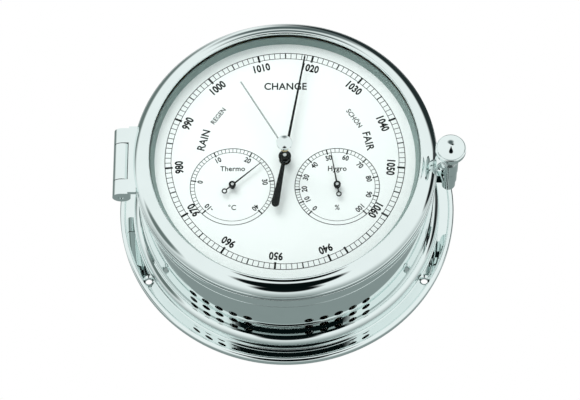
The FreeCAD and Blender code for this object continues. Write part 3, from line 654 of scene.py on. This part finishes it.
def celsius_angle(value):
    """Angle of a temperature on its even scale."""
    return value * CELSIUS_STEP + CELSIUS_ZERO


def humidity_angle(value):
    """Angle of a humidity on its uneven scale."""
    known = (-137.0, -116.0, -95.0, -72.0, -44.0, -15.0, 15.0, 44.0, 75.0, 105.6, 136.0)
    k = min(9, int(value // 10))
    return known[k] + (known[k + 1] - known[k]) * (value / 10 - k)


class BAROMETER_OT_small_scales(bpy.types.Operator):
    """Prints the thermometer and hygrometer scales with their numbers and names"""
    bl_idname = "barometer.small_scales"
    bl_label = "Small scales"

    def execute(self, context):
        sizes = context.scene.barometer_sizes
        outer, inner, high = sizes.sub_radius, sizes.sub_inner, sizes.print_height
        for name, middle in SUB_DIALS.items():
            centre = (middle.x, middle.z)
            warm = name == "thermometer"
            parts = [printed_circle(outer, 0.00038, centre, DIAL_Y, high),
                     printed_circle(inner, 0.00026, centre, DIAL_Y, high)]
            low, top = CELSIUS_RANGE if warm else HUMIDITY_RANGE
            angle_of = celsius_angle if warm else humidity_angle
            for value in range(low, top + 1, 1 if warm else 2):
                angle = angle_of(value)
                strong = value % 10 == 0
                reach = inner - 0.0007 if strong else inner
                parts.append(stroke(angle, reach, outer, 0.0007 if strong else 0.00028, centre, DIAL_Y, high * 1.1))
            for value in range(low, top + 1, 10):
                angle = angle_of(value)
                x, z = around(angle, inner - 0.0029)
                place = (centre[0] + x, centre[1] + z)
                parts.append(word(str(value), 0.0029, place, angle, DIAL_Y, high, 0.00012, 0.85))
            label, unit = ("Thermo", "°C") if warm else ("Hygro", "%")
            parts.append(word(label, 0.0030, (centre[0], centre[1] + 0.0105), 0, DIAL_Y, high, 0.00007, 0.95))
            parts.append(word(unit, 0.0030, (centre[0], centre[1] - 0.0125), 0, DIAL_Y, high, 0.00004, 0.95))
            print_piece(parts, name + "_scale")
        return {"FINISHED"}


# ---------------------------------------------------------------- finishes, studio, camera
class BAROMETER_OT_finishes(bpy.types.Operator):
    """Gives every CAD node that still shows the finish of its slot"""
    bl_idname = "barometer.finishes"
    bl_label = "Finishes"

    def execute(self, context):
        for part in frame["record"]["subparts"]:
            node = frame["nodes"][part["node"]]
            if node.hide_render:
                continue
            finish = finish_for(part["material_slot"])
            if not node.material_slots:
                node.data.materials.append(finish)
            for slot in node.material_slots:
                slot.material = finish
        return {"FINISHED"}


def patch(nodes, links, direction, inner, outer, base, tint):
    """A soft round patch of another brightness in the studio's surroundings."""
    place = nodes["Place"]
    dot = nodes.new("ShaderNodeVectorMath")
    dot.operation = "DOT_PRODUCT"
    dot.inputs[1].default_value = Vector(direction).normalized()
    links.new(place.outputs["Generated"], dot.inputs[0])
    near = nodes.new("ShaderNodeMapRange")
    near.interpolation_type = "SMOOTHSTEP"
    near.inputs["From Min"].default_value = math.cos(math.radians(outer))
    near.inputs["From Max"].default_value = math.cos(math.radians(inner))
    links.new(dot.outputs["Value"], near.inputs["Value"])
    mix = nodes.new("ShaderNodeMix")
    mix.data_type = "RGBA"
    links.new(near.outputs["Result"], mix.inputs["Factor"])
    links.new(base, mix.inputs["A"])
    mix.inputs["B"].default_value = tuple(tint) + (1,)
    return mix.outputs["Result"]


class BAROMETER_OT_stage(bpy.types.Operator):
    """Sets the pale floor, the soft studio surroundings, the lights and the camera"""
    bl_idname = "barometer.stage"
    bl_label = "Stage"

    def execute(self, context):
        start()
        bpy.ops.mesh.primitive_plane_add(size=60.0, location=(0, 0, FLOOR_Z))
        floor = bpy.context.object
        floor.name = "floor"
        finish, nodes, links, shader = new_material("pale_floor")
        shader.inputs["Base Color"].default_value = (0.97, 0.98, 0.98, 1)
        shader.inputs["Roughness"].default_value = 0.85
        floor.data.materials.append(finish)
        floor.visible_glossy = False

        world = bpy.data.worlds.new("studio")
        context.scene.world = world
        world.use_nodes = True
        nodes, links = world.node_tree.nodes, world.node_tree.links
        place = nodes.new("ShaderNodeTexCoord")
        place.name = "Place"
        plain = nodes.new("ShaderNodeRGB")
        plain.outputs[0].default_value = (0.97, 1.0, 1.0, 1)
        sky = plain.outputs[0]
        sky = patch(nodes, links, (0.0, 0.905, -0.425), 30, 95, sky, (0.26, 0.31, 0.305))
        sky = patch(nodes, links, (0.50, 0.25, 0.80), 26, 40, sky, (0.02, 0.03, 0.03))
        sky = patch(nodes, links, (0.90, 0.10, 0.25), 10, 18, sky, (0.01, 0.014, 0.014))
        sky = patch(nodes, links, (-0.62, 0.35, 0.66), 14, 34, sky, (0.16, 0.20, 0.19))
        sky = patch(nodes, links, (-0.95, -0.20, -0.20), 8, 20, sky, (0.16, 0.20, 0.19))
        sky = patch(nodes, links, (0.0, -0.30, 0.95), 8, 22, sky, (0.10, 0.13, 0.13))
        sky = patch(nodes, links, (0.0, -0.60, -0.80), 13, 20, sky, (0.003, 0.006, 0.006))
        sky = patch(nodes, links, (0.018, -0.905, -0.425), 17, 22, sky, (0.002, 0.005, 0.005))
        lit = nodes["Background"]
        links.new(sky, lit.inputs["Color"])
        lit.inputs["Strength"].default_value = 1.0
        behind = nodes.new("ShaderNodeBackground")
        behind.inputs["Color"].default_value = (1, 1, 1, 1)
        behind.inputs["Strength"].default_value = 1.0
        ray = nodes.new("ShaderNodeLightPath")
        choose = nodes.new("ShaderNodeMixShader")
        links.new(ray.outputs["Is Camera Ray"], choose.inputs["Fac"])
        links.new(lit.outputs["Background"], choose.inputs[1])
        links.new(behind.outputs["Background"], choose.inputs[2])
        links.new(choose.outputs["Shader"], nodes["World Output"].inputs["Surface"])

        start()
        bpy.ops.object.light_add(type="AREA", location=(-0.5, -0.9, 0.9))
        key = bpy.context.object
        key.data.size = 0.9
        key.data.energy = 14.0
        key.rotation_euler = (Vector((0, -0.065, 0)) - key.location).to_track_quat("-Z", "Y").to_euler()
        key.visible_glossy = False

        start()
        bpy.ops.object.camera_add(location=CAMERA_PLACE)
        camera = bpy.context.object
        camera.data.lens = CAMERA_LENS
        camera.data.sensor_width = 36.0
        camera.data.clip_end = 120.0
        up_tilt, swing, roll = (math.radians(a) for a in (CAMERA_TILT, CAMERA_SWING, CAMERA_ROLL))
        back = Vector((math.sin(swing) * math.cos(up_tilt), -math.cos(swing) * math.cos(up_tilt), math.sin(up_tilt)))
        ahead = -back
        across = ahead.cross(Vector((0, 0, 1))).normalized()
        down = ahead.cross(across)
        right = across * math.cos(roll) + down * math.sin(roll)
        down = down * math.cos(roll) - across * math.sin(roll)
        pose = Matrix((right, -down, back)).transposed()
        camera.rotation_euler = pose.to_euler()
        context.scene.camera = camera
        context.scene.view_settings.view_transform = "Standard"
        return {"FINISHED"}


PIECES = (
    BAROMETER_OT_stage, BAROMETER_OT_wall_flange, BAROMETER_OT_case_drum, BAROMETER_OT_front_ring,
    BAROMETER_OT_door_ring, BAROMETER_OT_glass, BAROMETER_OT_knobs, BAROMETER_OT_fittings,
    BAROMETER_OT_pressure_scale, BAROMETER_OT_dial_words, BAROMETER_OT_small_scales, BAROMETER_OT_finishes,
)


class BAROMETER_PT_panel(bpy.types.Panel):
    """Lists the barometer's sizes, colours and pieces"""
    bl_idname = "BAROMETER_PT_panel"
    bl_label = "Ship barometer"
    bl_space_type = "VIEW_3D"
    bl_region_type = "UI"
    bl_category = "Barometer"

    def draw(self, context):
        for group in (context.scene.barometer_sizes, context.scene.barometer_colours):
            box = self.layout.box()
            for key in group.__annotations__:
                box.prop(group, key)
        for piece in PIECES:
            self.layout.operator(piece.bl_idname)


CLASSES = (BarometerSizes, BarometerColours) + PIECES + (BAROMETER_PT_panel,)


def register():
    for item in CLASSES:
        bpy.utils.register_class(item)
    bpy.types.Scene.barometer_sizes = bpy.props.PointerProperty(type=BarometerSizes)
    bpy.types.Scene.barometer_colours = bpy.props.PointerProperty(type=BarometerColours)


def unregister():
    del bpy.types.Scene.barometer_colours
    del bpy.types.Scene.barometer_sizes
    for item in reversed(CLASSES):
        bpy.utils.unregister_class(item)


def main():
    register()
    for piece in PIECES:
        group, name = piece.bl_idname.split(".")
        getattr(getattr(bpy.ops, group), name)()
    start()


if __name__ == "__main__":
    main()
